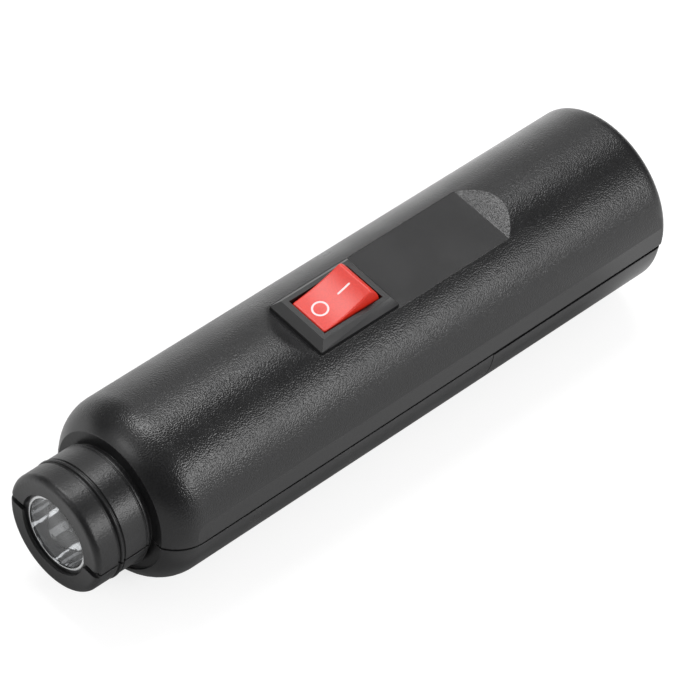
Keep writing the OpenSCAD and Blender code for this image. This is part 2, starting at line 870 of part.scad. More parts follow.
// Tubes: rings of points joined into one closed surface of triangles
module ring_tube(rings) {
    n = len(rings[0]);
    last = len(rings) - 1;
    points = [for (ring = rings) each ring];
    sides = [for (i = [0:last - 1], k = [0:n - 1]) let (a = i * n + k, b = i * n + (k + 1) % n)
        each [[a, a + n, b + n], [a, b + n, b]]];
    ends = [for (k = [1:n - 2]) each [[0, k, k + 1], [last * n, last * n + k + 1, last * n + k]]];
    polyhedron(points, concat(sides, ends));
}
function unit(v) = v / norm(v);
function blend_point(a, b, c, d, t) =
    (2 * b + (c - a) * t + (2 * a - 5 * b + 4 * c - d) * t * t + (3 * b - a - 3 * c + d) * t * t * t) / 2;
function smooth_route(p) = let (last = len(p) - 1) concat(
    [for (i = [0:last - 1], k = [0:wire_steps - 1])
        blend_point(p[max(i - 1, 0)], p[i], p[i + 1], p[min(i + 2, last)], k / wire_steps)],
    [p[last]]);
function route_ring(p, i) =
    let (last = len(p) - 1)
    let (along = i == 0 || i == last ? [1, 0, 0] : unit(p[i + 1] - p[i - 1]))
    let (side = unit(cross([0, 0, 1], along)))
    let (up = cross(along, side))
    [for (k = [0:wire_sides - 1]) let (a = 360 * (k + 0.5) / wire_sides)
        p[i] + wire_r * (cos(a) * side + sin(a) * up)];
module wire(route) {
    p = smooth_route(route);
    ring_tube([for (i = [0:len(p) - 1]) route_ring(p, i)]);
}
module wire_positive() color("#b3241f") place() wire(positive_route);
module wire_switched() color("#b3241f") place() wire(switched_route);
module wire_negative() color("#202022") place() wire(negative_route);

// Coil springs: a helix along +Z from low to high whose radius runs from r0 to r1
function coil_path(r0, r1, low, high, turns, wire) = [for (i = [0:turns * coil_rings])
    let (t = i / (turns * coil_rings), rise = high - low - 2 * wire)
        [r0 + (r1 - r0) * t, 360 * turns * t, low + wire + rise * t]];
function coil_ring(c, wire) = [for (k = [0:coil_sides - 1])
    let (b = 360 * k / coil_sides, r = c[0] + wire * cos(b))
        [r * cos(c[1]), r * sin(c[1]), c[2] - wire * sin(b)]];
function coil_centre(c) = [c[0] * cos(c[1]), c[0] * sin(c[1]), c[2]];
function least_gap(path, wire) = min([for (i = [0:len(path) - 1], j = [i + coil_rings / 2:1:len(path) - 1])
    norm(coil_centre(path[i]) - coil_centre(path[j]))]) - 2 * wire;
module coil(path, wire) {
    ring_tube([for (c = path) coil_ring(c, wire)]);
}
contact_path =
    coil_path(contact_wide_r, contact_narrow_r, touch, spring_room - touch, contact_turns, contact_wire_r);
pin_path = coil_path(pin_coil_r, pin_coil_r, pin_top + touch, pin_bore_top - touch, pin_turns, pin_wire_r);
echo(contact_spring_gap = least_gap(contact_path, contact_wire_r));
echo(pin_spring_gap = least_gap(pin_path, pin_wire_r));
module plunger_spring() color("silver") place() at_pivot() coil(pin_path, pin_wire_r);
module contact_spring() {
    coil(contact_path, contact_wire_r);
}
module contact_springs() color("silver") place() {
    for (y = [-cell_side, cell_side])
        translate([front_plate, y, side_z]) rotate([0, -90, 0]) contact_spring();
    translate([rear_plate + plate_t, 0, middle_z]) rotate([0, 90, 0]) contact_spring();
}

upper_shell();
lower_shell();
battery_door();
shell_screws();
switch_housing();
rocker();
plunger();
plunger_spring();
contact_blade();
common_terminal();
load_terminal();
lens();
reflector();
led_emitter();
led_board();
series_resistor();
cell_left();
cell_middle();
cell_right();
positive_contact();
negative_contact();
front_link();
rear_link();
contact_springs();
wire_positive();
wire_switched();
wire_negative();
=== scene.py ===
"""Looks of the battery egg candler: materials, fine pieces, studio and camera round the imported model."""
import json
import math

import bmesh
import bpy
from mathutils import Matrix, Vector


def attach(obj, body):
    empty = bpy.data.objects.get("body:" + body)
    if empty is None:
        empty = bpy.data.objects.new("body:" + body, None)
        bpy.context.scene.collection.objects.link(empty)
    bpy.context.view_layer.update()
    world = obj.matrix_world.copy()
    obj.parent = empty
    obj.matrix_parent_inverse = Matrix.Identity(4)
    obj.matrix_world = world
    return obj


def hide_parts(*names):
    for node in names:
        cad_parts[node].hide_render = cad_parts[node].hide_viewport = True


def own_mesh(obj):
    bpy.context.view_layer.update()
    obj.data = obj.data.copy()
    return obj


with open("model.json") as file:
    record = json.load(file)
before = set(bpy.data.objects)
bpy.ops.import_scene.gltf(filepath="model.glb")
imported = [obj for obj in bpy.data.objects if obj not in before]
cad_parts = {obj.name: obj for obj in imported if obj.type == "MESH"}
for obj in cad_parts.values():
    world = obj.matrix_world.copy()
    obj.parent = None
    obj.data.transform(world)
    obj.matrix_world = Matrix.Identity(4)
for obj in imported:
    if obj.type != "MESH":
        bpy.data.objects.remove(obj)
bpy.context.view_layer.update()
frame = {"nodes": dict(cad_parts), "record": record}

MM = 0.001
nodes = frame["nodes"]

# Main sizes of the part, in millimetres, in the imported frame
AXIS_Z = 19.682
BARREL_R = 18.9
REAR_X = -75.65
TAIL_ROUND = 1.7
PANEL_Z = 36.805
PANEL_REAR = -36.75
PANEL_FRONT = 20
BEZEL_FRONT = 15
BEZEL_ROUND = 0.3
RAMP_FRONT = 21
SHOULDER_X = 50
NOSE_ROOT = 62.2
LENS_FRONT = 74.6

# Heights over the axis of the barrel
PANEL_RISE = PANEL_Z - AXIS_Z
FACET_TOP = 4.7

# Bands over which a look changes, in millimetres along the beam
TAIL_BAND = (REAR_X + 4, REAR_X + 6)
GRAIN_REAR_BAND = (REAR_X + 1.4, REAR_X + 3)
BEZEL_BAND = (BEZEL_FRONT - 0.5, BEZEL_FRONT + 0.5)
RAMP_BAND = (RAMP_FRONT + 1, RAMP_FRONT + 4)
SHOULDER_BAND = (SHOULDER_X, SHOULDER_X + 3)
GRAIN_FRONT_BAND = (NOSE_ROOT - 5, NOSE_ROOT - 1)
NOSE_BAND = (NOSE_ROOT - 2, NOSE_ROOT)

# Bands in height over the axis
UNDER_BAND = (-12, -9)
FACET_BAND = (FACET_TOP, FACET_TOP + 1.2)
TAIL_TOP_BAND = (FACET_TOP + 1.3, FACET_TOP + 3.3)
RAMP_TOP_BAND = (13, 15)
PANEL_BAND = (PANEL_RISE + 0.1, PANEL_RISE + 0.6)

# Bands in distance from the axis
LENS_LINE_BAND = (7.64, 7.67)
MIRROR_BAND = (8.1, 8.15)
SKIN_BAND = (BARREL_R - 0.08, BARREL_R - 0.02)

# Levels at the two ends of a band over which a look fades out
FALLING = (1.0, 0.0)

# Relief of the black moulding, in millimetres, and the share of the barrel's grain elsewhere
GRAIN_SIZE = 0.28
GRAIN_DEPTH = 0.068
FACET_GRAIN = 0.25
NOSE_GRAIN = 0.4
MOTTLE_SIZE = 0.9
MOTTLE_DEPTH = 0.04
SHEEN_SIZE = 9
EDGE_ROUND = 0.25
WIDE_ROUND = 3

# Roughness that the grain of the barrel and of the nose adds
BARREL_ROUGH = 0.13
NOSE_ROUGH = 0.05

# Rocker, about its pivot
SWITCH_X = 4.25
PIVOT_DROP = 0.4
PIVOT_Z = PANEL_Z - PIVOT_DROP
REST_TILT = 17
ROCKER_REACH = 7.8
ROCKER_WIDTH = 9.8
ROCKER_RISE = 3.85
ROCKER_SKIRT = 1.2
ROCKER_TOP = 5
ROCKER_LEAN = 0.3
HOLLOW_R = 30
TOP_ROUND = 0.4
SIDE_ROUND = 0.3
CORNER_ROUND = 0.45
TRUNNION_R = 1
TRUNNION_REACH = 6.2
TRUNNION_SUNK = 0.5
STEM_R = 2
STEM_BORE_R = 1.3
STEM_TOP = -1
STEM_FOOT = -4.8

# White marks on the rocker, along its top from the middle; the bar's tips keep a share of its width
RING_X = 3.27
RING_R = 1.58
BAR_FROM = -4.68
BAR_TO = -1.37
MARK_WIDTH = 0.45
MARK_HEIGHT = 0.06
MARK_SUNK = 0.03
MARK_TIP = 0.05

# Coil springs that press the cells together
COIL_WIDE_R = 3.2
COIL_NARROW_R = 2
COIL_WIRE_R = 0.3
COIL_TURNS = 3
COIL_ROOM = 4.1
COIL_TOUCH = 0.05
COIL_Z = AXIS_Z - 3.4
CELL_SIDE = 10.61
FRONT_PLATE_X = REAR_X + 53.45
REAR_PLATE_X = REAR_X + 4.2

# Coil spring over the plunger, along the rocker's own upright axis
PIN_COIL_R = 0.95
PIN_WIRE_R = 0.15
PIN_COIL_LOW = -2.15
PIN_COIL_HIGH = 0.85
PIN_TURNS = 3

# The studio in the part's gloss: the middle of its dim ceiling, and of its dim side before the nose
CEILING = (-0.2, 0.25, 0.95)
NOSE_SIDE = (0.79, 0.61, 0)

# The room as the lens shows it: a dim level, and the directions and levels of three windows
DIM_ROOM = 0.11
WINDOWS = (((0.40, 0.916, 0.03), 1.4), ((0.40, -0.539, 0.741), 1.4), ((0.48, 0.50, 0.72), 0.42))
WINDOW_EDGE = (0.978, 0.988)

# Floor, in metres, with the tone of its paper and the level that makes it white to the camera
FLOOR_REACH = 6
FLOOR_Z = -0.0002
FLOOR_PAPER = 0.34
FLOOR_WHITE = 0.74

# Lamps: name, direction from the part, direction of the first side, size in metres and power in watts
LAMP_DISTANCE = 1.4
LAMPS = (
    ("top_softbox", (0.01, -0.39, 0.91), (1, 0, 0), (0.45, 0.36), 5.8),
    ("front_softbox", (0.78, -0.28, 0.50), (0, 1, 0), (0.5, 0.4), 2),
    ("far_softbox", (-0.34, -0.25, 0.90), (1, 0, 0), (0.5, 0.30), 4.2),
    ("near_softbox", (-0.33, 0.74, 0.50), (0.79, 0.61, 0), (0.8, 0.42), 7),
)


def new_material(name):
    """A material with an empty Principled shader, its node tree and that shader."""
    material = bpy.data.materials.new(name)
    material.use_nodes = True
    tree = material.node_tree
    tree.nodes.clear()
    output = tree.nodes.new("ShaderNodeOutputMaterial")
    shader = tree.nodes.new("ShaderNodeBsdfPrincipled")
    tree.links.new(shader.outputs["BSDF"], output.inputs["Surface"])
    return material, tree, shader


def feed(tree, made, values):
    """Sets or links the sockets of a node by name or number."""
    for socket, value in values.items():
        if isinstance(value, bpy.types.NodeSocket):
            tree.links.new(value, made.inputs[socket])
        else:
            made.inputs[socket].default_value = value


def add(tree, kind, values=None, **settings):
    """A new node with its settings and its sockets."""
    made = tree.nodes.new(kind)
    for name, value in settings.items():
        setattr(made, name, value)
    feed(tree, made, values or {})
    return made


def place_coords(tree):
    """Coordinates in the part's own frame, which stay with a piece that moves."""
    return add(tree, "ShaderNodeTexCoord").outputs["Object"]


def noise(tree, coords, size, detail=2.0):
    """Noise whose features are about size millimetres across, from 0 to 1."""
    values = {"Vector": coords, "Scale": 1 / (size * MM), "Detail": detail}
    return add(tree, "ShaderNodeTexNoise", values).outputs["Fac"]


def calculate(tree, operation, first, second=0.0, third=0.0):
    """One step of arithmetic on two or three values."""
    return add(tree, "ShaderNodeMath", {0: first, 1: second, 2: third}, operation=operation).outputs[0]


def join(tree, operation, *values):
    """The sum, the product or the largest of several values."""
    joined = values[0]
    for value in values[1:]:
        joined = calculate(tree, operation, joined, value)
    return joined


def spread(tree, value, low, high, out_low, out_high):
    """Maps a value smoothly from one range to another, held at the ends."""
    values = {"Value": value, "From Min": low, "From Max": high, "To Min": out_low, "To Max": out_high}
    made = add(tree, "ShaderNodeMapRange", values, interpolation_type="SMOOTHSTEP")
    return made.outputs["Result"]


def across(tree, place, band, levels=(0.0, 1.0)):
    """Goes smoothly from one level to another over a band in millimetres."""
    return spread(tree, place, band[0] * MM, band[1] * MM, *levels)


def vary(tree, wave, low, high):
    """Turns noise, which is mostly from 0.3 to 0.7, into a value that wanders between two levels."""
    return spread(tree, wave, 0.3, 0.7, low, high)


def beam_coords(tree, coords):
    """Place along the beam, height over the axis of the barrel and distance from it, in metres."""
    x, y, z = add(tree, "ShaderNodeSeparateXYZ", {0: coords}).outputs
    height = calculate(tree, "SUBTRACT", z, AXIS_Z * MM)
    squares = join(
        tree, "ADD", calculate(tree, "MULTIPLY", y, y), calculate(tree, "MULTIPLY", height, height))
    return x, height, calculate(tree, "SQRT", squares)


def between(tree, factor, first, second):
    """A colour between two colours."""
    made = add(tree, "ShaderNodeMix", {0: factor, 6: (*first, 1), 7: (*second, 1)}, data_type="RGBA")
    return made.outputs[2]


def bump(tree, height, depth, under=None):
    """A bump of the given full depth in millimetres, on the plain normal or on one under it."""
    values = {"Height": height, "Distance": depth * MM}
    if under is not None:
        values["Normal"] = under
    return add(tree, "ShaderNodeBump", values).outputs["Normal"]


def soft_edges(tree, radius):
    """A normal that turns round the edges of a moulding, by a radius in metres."""
    return add(tree, "ShaderNodeBevel", {"Radius": radius}, samples=6).outputs["Normal"]


def black_regions(tree, x, height, radius):
    """How far a point of the moulding is on the round barrel, is grained, and is on the nose."""
    past_panel = calculate(
        tree, "MAXIMUM", calculate(tree, "LESS_THAN", x, PANEL_REAR * MM),
        calculate(tree, "GREATER_THAN", x, PANEL_FRONT * MM))
    off_facet = join(
        tree, "MAXIMUM", calculate(tree, "GREATER_THAN", height, FACET_TOP * MM),
        across(tree, x, SHOULDER_BAND), calculate(tree, "LESS_THAN", x, (REAR_X + TAIL_ROUND) * MM))
    ends = calculate(tree, "MULTIPLY", past_panel, off_facet)
    barrel = join(
        tree, "MAXIMUM", across(tree, radius, SKIN_BAND), across(tree, height, PANEL_BAND), ends)
    upper = calculate(tree, "MULTIPLY", barrel, across(tree, height, FACET_BAND, (FACET_GRAIN, 1.0)))
    under = across(tree, height, UNDER_BAND, FALLING)
    grain = join(
        tree, "MULTIPLY", calculate(tree, "MAXIMUM", upper, under),
        across(tree, x, GRAIN_FRONT_BAND, FALLING), across(tree, x, GRAIN_REAR_BAND))
    return barrel, grain, across(tree, x, NOSE_BAND)


def black_rounding(tree, x, height):
    """Radius of the moulding's soft edges, which is wide on the front ramp and round the tail."""
    ramp = join(
        tree, "MULTIPLY", across(tree, x, BEZEL_BAND), across(tree, x, RAMP_BAND, FALLING),
        across(tree, height, RAMP_TOP_BAND))
    tail = calculate(
        tree, "MULTIPLY", across(tree, x, TAIL_BAND, FALLING), across(tree, height, TAIL_TOP_BAND))
    wide = calculate(tree, "MAXIMUM", ramp, tail)
    return calculate(tree, "MULTIPLY_ADD", wide, (WIDE_ROUND - EDGE_ROUND) * MM, EDGE_ROUND * MM)


def moulded_black():
    """Black ABS: a spark grain on the barrel, and a smoother panel, side band and nose."""
    material, tree, shader = new_material("moulded_black_abs")
    coords = place_coords(tree)
    x, height, radius = beam_coords(tree, coords)
    barrel, grain, nose = black_regions(tree, x, height, radius)
    fine = noise(tree, coords, GRAIN_SIZE, detail=0.0)
    tone = between(
        tree, spread(tree, fine, 0.25, 0.75, 0.0, 1.0), (0.007, 0.007, 0.0074), (0.012, 0.012, 0.0126))
    polish = vary(tree, noise(tree, coords, SHEEN_SIZE, detail=3.0), 0.14, 0.20)
    nose_polish = calculate(tree, "MULTIPLY_ADD", nose, NOSE_ROUGH, polish)
    rough = calculate(tree, "MULTIPLY_ADD", barrel, BARREL_ROUGH, nose_polish)
    edges = soft_edges(tree, black_rounding(tree, x, height))
    mottle = calculate(tree, "MULTIPLY", noise(tree, coords, MOTTLE_SIZE, detail=3.0), nose)
    mottled = bump(tree, mottle, MOTTLE_DEPTH, edges)
    relief = calculate(
        tree, "MULTIPLY", fine, calculate(tree, "MULTIPLY_ADD", nose, NOSE_GRAIN, grain))
    grained = bump(tree, relief, GRAIN_DEPTH, mottled)
    feed(tree, shader, {"Base Color": tone, "Roughness": rough, "Normal": grained, "IOR": 1.5})
    return material


def satin_black():
    """Black nylon of the switch: smooth, with a faint mould haze."""
    material, tree, shader = new_material("satin_black_nylon")
    coords = place_coords(tree)
    haze = noise(tree, coords, 3.0, detail=3.0)
    fine = noise(tree, coords, 0.25, detail=1.0)
    tone = between(tree, haze, (0.008, 0.008, 0.0085), (0.012, 0.012, 0.0125))
    feed(tree, shader, {
        "Base Color": tone, "Roughness": vary(tree, haze, 0.28, 0.35),
        "Normal": bump(tree, fine, 0.006), "IOR": 1.5})
    return material


def glossy_red():
    """Red plastic of the rocker, with fine light specks in the moulding."""
    material, tree, shader = new_material("glossy_red_plastic")
    coords = place_coords(tree)
    cloud = noise(tree, coords, 0.4)
    tone = between(tree, vary(tree, cloud, 0.0, 1.0), (0.60, 0.021, 0.010), (0.66, 0.028, 0.014))
    feed(tree, shader, {
        "Base Color": tone, "Roughness": vary(tree, cloud, 0.30, 0.34),
        "Normal": bump(tree, noise(tree, coords, 0.28, detail=1.0), 0.016), "IOR": 1.46})
    return material


def brushed(name, dark, light, rough, stretch):
    """Bare or plated metal with fine brush marks along one axis."""
    material, tree, shader = new_material(name)
    coords = place_coords(tree)
    drawn = add(tree, "ShaderNodeMapping", {"Vector": coords, "Scale": stretch}).outputs["Vector"]
    marks = noise(tree, drawn, 0.25, detail=3.0)
    cloud = noise(tree, coords, 2.5)
    feed(tree, shader, {
        "Base Color": between(tree, cloud, dark, light), "Metallic": 1.0,
        "Roughness": vary(tree, marks, rough - 0.06, rough + 0.06),
        "Normal": bump(tree, marks, 0.004)})
    return material


def coated(name, dark, light, rough, size=1.0):
    """Opaque plastic, lacquer or rubber with a soft cloud of tone."""
    material, tree, shader = new_material(name)
    coords = place_coords(tree)
    cloud = noise(tree, coords, size, detail=3.0)
    feed(tree, shader, {
        "Base Color": between(tree, cloud, dark, light),
        "Roughness": vary(tree, cloud, rough - 0.05, rough + 0.05),
        "Normal": bump(tree, noise(tree, coords, 0.3, detail=1.0), 0.006)})
    return material


def clear_acrylic():
    """Clear polished lens, whose ground edge shows as a white line."""
    material, tree, shader = new_material("clear_acrylic")
    coords = place_coords(tree)
    x, _, radius = beam_coords(tree, coords)
    inner = across(tree, radius, LENS_LINE_BAND, FALLING)
    clear = calculate(tree, "MAXIMUM", inner, calculate(tree, "LESS_THAN", x, LENS_FRONT * MM))
    smear = noise(tree, coords, 4.0)
    feed(tree, shader, {
        "Base Color": (0.97, 0.985, 0.99, 1), "Transmission Weight": clear, "IOR": 1.49,
        "Roughness": spread(tree, smear, 0.4, 0.8, 0.0, 0.03)})
    return material


def mirror_coat():
    """Vacuum metallised bowl of the reflector, with the flange round it painted near black as shade in the
    gap round the lens.
    """
    material, tree, shader = new_material("mirror_coat")
    coords = place_coords(tree)
    _, _, radius = beam_coords(tree, coords)
    bowl = across(tree, radius, MIRROR_BAND, FALLING)
    ripple = noise(tree, coords, 1.4, detail=1.0)
    # Outside the bowl, shine falls to 0 and the colour to near black: painted shade on the flange round the
    # lens.
    shine = calculate(tree, "MULTIPLY", vary(tree, ripple, 0.9, 1.0), bowl)
    feed(tree, shader, {
        "Base Color": between(tree, shine, (0.012, 0.012, 0.013), (0.80, 0.80, 0.81)), "Metallic": bowl,
        "Roughness": calculate(tree, "MULTIPLY_ADD", bowl, -0.31, vary(tree, ripple, 0.34, 0.38)),
        "Normal": bump(tree, ripple, 0.022)})
    return material


looks = {
    "black_abs": moulded_black(),
    "black_nylon": satin_black(),
    "red_plastic": glossy_red(),
    "white_mark": coated("white_mark_paint", (0.80, 0.66, 0.67), (0.86, 0.73, 0.74), 0.4),
    "zinc_steel": brushed("zinc_steel_screw", (0.52, 0.52, 0.50), (0.64, 0.64, 0.62), 0.34, (1, 1, 6)),
    "spring_steel": brushed("bright_spring_wire", (0.55, 0.56, 0.57), (0.66, 0.67, 0.68), 0.25, (1, 1, 1)),
    "plated_steel": brushed("nickel_strip", (0.62, 0.62, 0.61), (0.72, 0.72, 0.71), 0.28, (1, 8, 1)),
    "brass": brushed("stamped_brass", (0.72, 0.52, 0.20), (0.82, 0.63, 0.28), 0.30, (8, 1, 1)),
    "acetal": coated("natural_acetal", (0.80, 0.78, 0.70), (0.86, 0.84, 0.77), 0.4),
    "clear_lens": clear_acrylic(),
    "mirror_plastic": mirror_coat(),
    "led_dome": coated("led_phosphor", (0.80, 0.66, 0.22), (0.90, 0.80, 0.38), 0.2, 0.6),
    "white_board": coated("white_solder_mask", (0.74, 0.74, 0.71), (0.80, 0.80, 0.78), 0.35),
    "resistor_coat": coated("resistor_lacquer", (0.55, 0.40, 0.24), (0.63, 0.48, 0.30), 0.4),
    "cell_sleeve": coated("cell_sleeve_blue", (0.06, 0.15, 0.34), (0.09, 0.20, 0.42), 0.3, 4.0),
    "red_wire": coated("red_insulation", (0.48, 0.02, 0.014), (0.58, 0.035, 0.024), 0.42),
    "black_wire": coated("black_insulation", (0.016, 0.016, 0.018), (0.024, 0.024, 0.026), 0.45),
}


def dress(piece, look):
    """Gives a piece one of the looks."""
    piece.data.materials.clear()
    piece.data.materials.append(looks[look])


for row in frame["record"]["subparts"]:
    dress(nodes[row["node"]], row["material_slot"])


def skin(form, rows, loop=False):
    """Faces between closed rows of points, with the last row joined to the first, or the ends closed."""
    made = [[form.verts.new(point) for point in row] for row in rows]
    pairs = list(zip(made, made[1:])) + ([(made[-1], made[0])] if loop else [])
    for near, far in pairs:
        for k in range(len(near)):
            form.faces.new((near[k - 1], near[k], far[k], far[k - 1]))
    if not loop:
        form.faces.new(made[0])
        form.faces.new(reversed(made[-1]))


def finish_piece(name, form, place, look, body, sharp=35):
    """A smooth piece from a form in millimetres, set in place and riding on its body."""
    bmesh.ops.transform(form, matrix=place, verts=form.verts)
    bmesh.ops.recalc_face_normals(form, faces=form.faces)
    mesh = bpy.data.meshes.new(name)
    form.to_mesh(mesh)
    form.free()
    mesh.shade_smooth()
    mesh.set_sharp_from_angle(angle=math.radians(sharp))
    piece = bpy.data.objects.new(name, mesh)
    bpy.context.scene.collection.objects.link(piece)
    dress(piece, look)
    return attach(piece, body)


def rocker_place():
    """The rocker's own place, tipped to off, for forms in millimetres."""
    turn = Matrix.Rotation(math.radians(REST_TILT), 4, "Y")
    return Matrix.Scale(MM, 4) @ Matrix.Translation((SWITCH_X, 0, PIVOT_Z)) @ turn


def hollow(x):
    """Height of the rocker's hollow top over its pivot."""
    return ROCKER_RISE + HOLLOW_R - math.sqrt(HOLLOW_R * HOLLOW_R - x * x)


def rocker_outline(steps=8):
    """Side view of the rocker: a hollow top, rounded corners, round ends and a flat skirt."""
    corner = ROCKER_REACH
    for _ in range(20):  # closes in on the point where the top meets the round end
        corner = math.sqrt(ROCKER_REACH ** 2 - hollow(corner) ** 2)
    turn = math.atan2(hollow(corner), corner) - TOP_ROUND / ROCKER_REACH
    low = -math.asin(ROCKER_SKIRT / ROCKER_REACH)
    start = Vector((corner - TOP_ROUND, hollow(corner - TOP_ROUND)))
    middle = Vector((corner, hollow(corner)))
    stop = ROCKER_REACH * Vector((math.cos(turn), math.sin(turn)))
    front = []
    for k in range(steps):
        x = start.x * k / steps
        front.append(Vector((x, hollow(x))))
    for k in range(steps):
        t = k / steps
        front.append(start * (1 - t) ** 2 + middle * 2 * t * (1 - t) + stop * t * t)
    for k in range(steps + 1):
        angle = turn + (low - turn) * k / steps
        front.append(ROCKER_REACH * Vector((math.cos(angle), math.sin(angle))))
    rear = [Vector((-p.x, p.y)) for p in reversed(front[1:])]
    return rear + front


def rocker_rows(steps=6):
    """Rows of points across the rocker, which leans in to its top and is rounded along all its edges."""
    outline = rocker_outline()
    half = ROCKER_WIDTH / 2
    turns = [k * math.pi / 2 / steps for k in range(steps + 1)]
    shapes = [(half - CORNER_ROUND * (1 - math.sin(a)), CORNER_ROUND * (1 - math.cos(a))) for a in turns]
    rows = []
    for side, inset in [(-w, i) for w, i in reversed(shapes)] + shapes:
        into_edge = max(0, abs(side) - half + SIDE_ROUND) / SIDE_ROUND
        drop = SIDE_ROUND * (1 - math.sqrt(max(0, 1 - into_edge ** 2)))
        row = []
        for p in outline:
            lean = 1 - ROCKER_LEAN / half * (p.y + ROCKER_SKIRT) / (ROCKER_TOP + ROCKER_SKIRT)
            height = p.y - drop * max(0, p.y) / ROCKER_RISE
            row.append(Vector((p.x * (1 - inset / ROCKER_REACH), side * lean, height)))
        rows.append(row)
    return rows


def ring_points(radius, height, count=24):
    """A ring of points about the upright axis."""
    turns = [2 * math.pi * k / count for k in range(count)]
    return [Vector((radius * math.cos(a), radius * math.sin(a), height)) for a in turns]


def make_rocker():
    """Rocker with rounded edges, its two trunnions and the sleeve that holds the plunger."""
    form = bmesh.new()
    skin(form, rocker_rows())
    turn = Matrix.Rotation(math.pi / 2, 4, "X")
    root = ROCKER_WIDTH / 2 - TRUNNION_SUNK
    for side in (-1, 1):
        rows = [ring_points(TRUNNION_R, side * reach) for reach in (root, TRUNNION_REACH)]
        skin(form, [[turn @ p for p in row] for row in rows])
    sleeve = ((STEM_R, STEM_TOP), (STEM_R, STEM_FOOT), (STEM_BORE_R, STEM_FOOT), (STEM_BORE_R, STEM_TOP))
    skin(form, [ring_points(radius, height) for radius, height in sleeve], loop=True)
    piece = finish_piece("rocker_cap", form, rocker_place(), "red_plastic", "rocker_body")
    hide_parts("rocker")


def mark_section(centre, sideways, width, steps=8):
    """Domed section of a raised mark that lies on the hollow of the rocker."""
    points = []
    for k in range(steps + 1):
        a = math.pi * k / steps
        p = centre + sideways * (width / 2 * math.cos(a))
        rise = (MARK_HEIGHT + MARK_SUNK) * math.sin(a)
        points.append(Vector((p.x, p.y, hollow(p.x) - MARK_SUNK + rise)))
    return points


def make_off_ring():
    """Raised white ring, the common mark for off."""
    form = bmesh.new()
    rows = []
    for out in ring_points(1, 0, 48):
        rows.append(mark_section(Vector((RING_X, 0, 0)) + out * RING_R, out, MARK_WIDTH))
    skin(form, rows, loop=True)
    finish_piece("off_ring", form, rocker_place(), "white_mark", "rocker_body")


def make_on_bar(steps=24):
    """Raised white bar with round ends, the common mark for on."""
    form = bmesh.new()
    middle = (BAR_FROM + BAR_TO) / 2
    half = (BAR_TO - BAR_FROM) / 2
    end = MARK_WIDTH / 2
    rows = []
    for k in range(steps + 1):
        along = -math.cos(math.pi * k / steps) * half
        into_end = max(0, abs(along) - half + end) / end
        width = MARK_WIDTH * max(MARK_TIP, math.sqrt(max(0, 1 - into_end ** 2)))
        rows.append(mark_section(Vector((middle + along, 0, 0)), Vector((0, 1, 0)), width))
    skin(form, rows)
    finish_piece("on_bar", form, rocker_place(), "white_mark", "rocker_body")


def coil_rows(foot_r, tip_r, low, high, turns, wire_r, rings=32, sides=12):
    """Rows of points round a coil of wire that stands upright between two heights."""
    rows = []
    for k in range(turns * rings + 1):
        t = k / (turns * rings)
        radius = foot_r + (tip_r - foot_r) * t
        middle = low + wire_r + (high - low - 2 * wire_r) * t
        turn = 2 * math.pi * turns * t
        row = []
        for s in range(sides):
            a = 2 * math.pi * s / sides
            out = radius + wire_r * math.cos(a)
            row.append(Vector((out * math.cos(turn), out * math.sin(turn), middle - wire_r * math.sin(a))))
        rows.append(row)
    return rows


def make_coils():
    """Three smooth coil springs, two on the front plates and one on the rear plate."""
    form = bmesh.new()
    rows = coil_rows(
        COIL_WIDE_R, COIL_NARROW_R, COIL_TOUCH, COIL_ROOM - COIL_TOUCH, COIL_TURNS, COIL_WIRE_R)
    places = ((FRONT_PLATE_X, -CELL_SIDE, -1), (FRONT_PLATE_X, CELL_SIDE, -1), (REAR_PLATE_X, 0, 1))
    for x, y, quarter in places:
        place = Matrix.Translation((x, y, COIL_Z)) @ Matrix.Rotation(quarter * math.pi / 2, 4, "Y")
        skin(form, [[place @ p for p in row] for row in rows])
    piece = finish_piece("contact_coils", form, Matrix.Scale(MM, 4), "spring_steel", "torch_body", sharp=60)
    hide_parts("contact_springs")


def make_plunger_coil():
    """Smooth coil spring over the plunger, carried by the rocker at one length."""
    form = bmesh.new()
    skin(form, coil_rows(PIN_COIL_R, PIN_COIL_R, PIN_COIL_LOW, PIN_COIL_HIGH, PIN_TURNS, PIN_WIRE_R))
    place = rocker_place()
    piece = finish_piece("plunger_coil", form, place, "spring_steel", "rocker_body", sharp=60)
    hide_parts("plunger_spring")
    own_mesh(piece)


def round_edges(node, width):
    """Rounds the sharp edges of a moulded node, by a width in millimetres."""
    weld = nodes[node].modifiers.new("weld", "WELD")
    weld.merge_threshold = 0.001 * MM
    edges = nodes[node].modifiers.new("round_edges", "BEVEL")
    edges.width = width * MM
    edges.segments = 3
    edges.limit_method = "ANGLE"
    edges.angle_limit = math.radians(30)
    edges.harden_normals = True


make_rocker()
make_off_ring()
make_on_bar()
make_coils()
make_plunger_coil()
round_edges("switch_housing", BEZEL_ROUND)


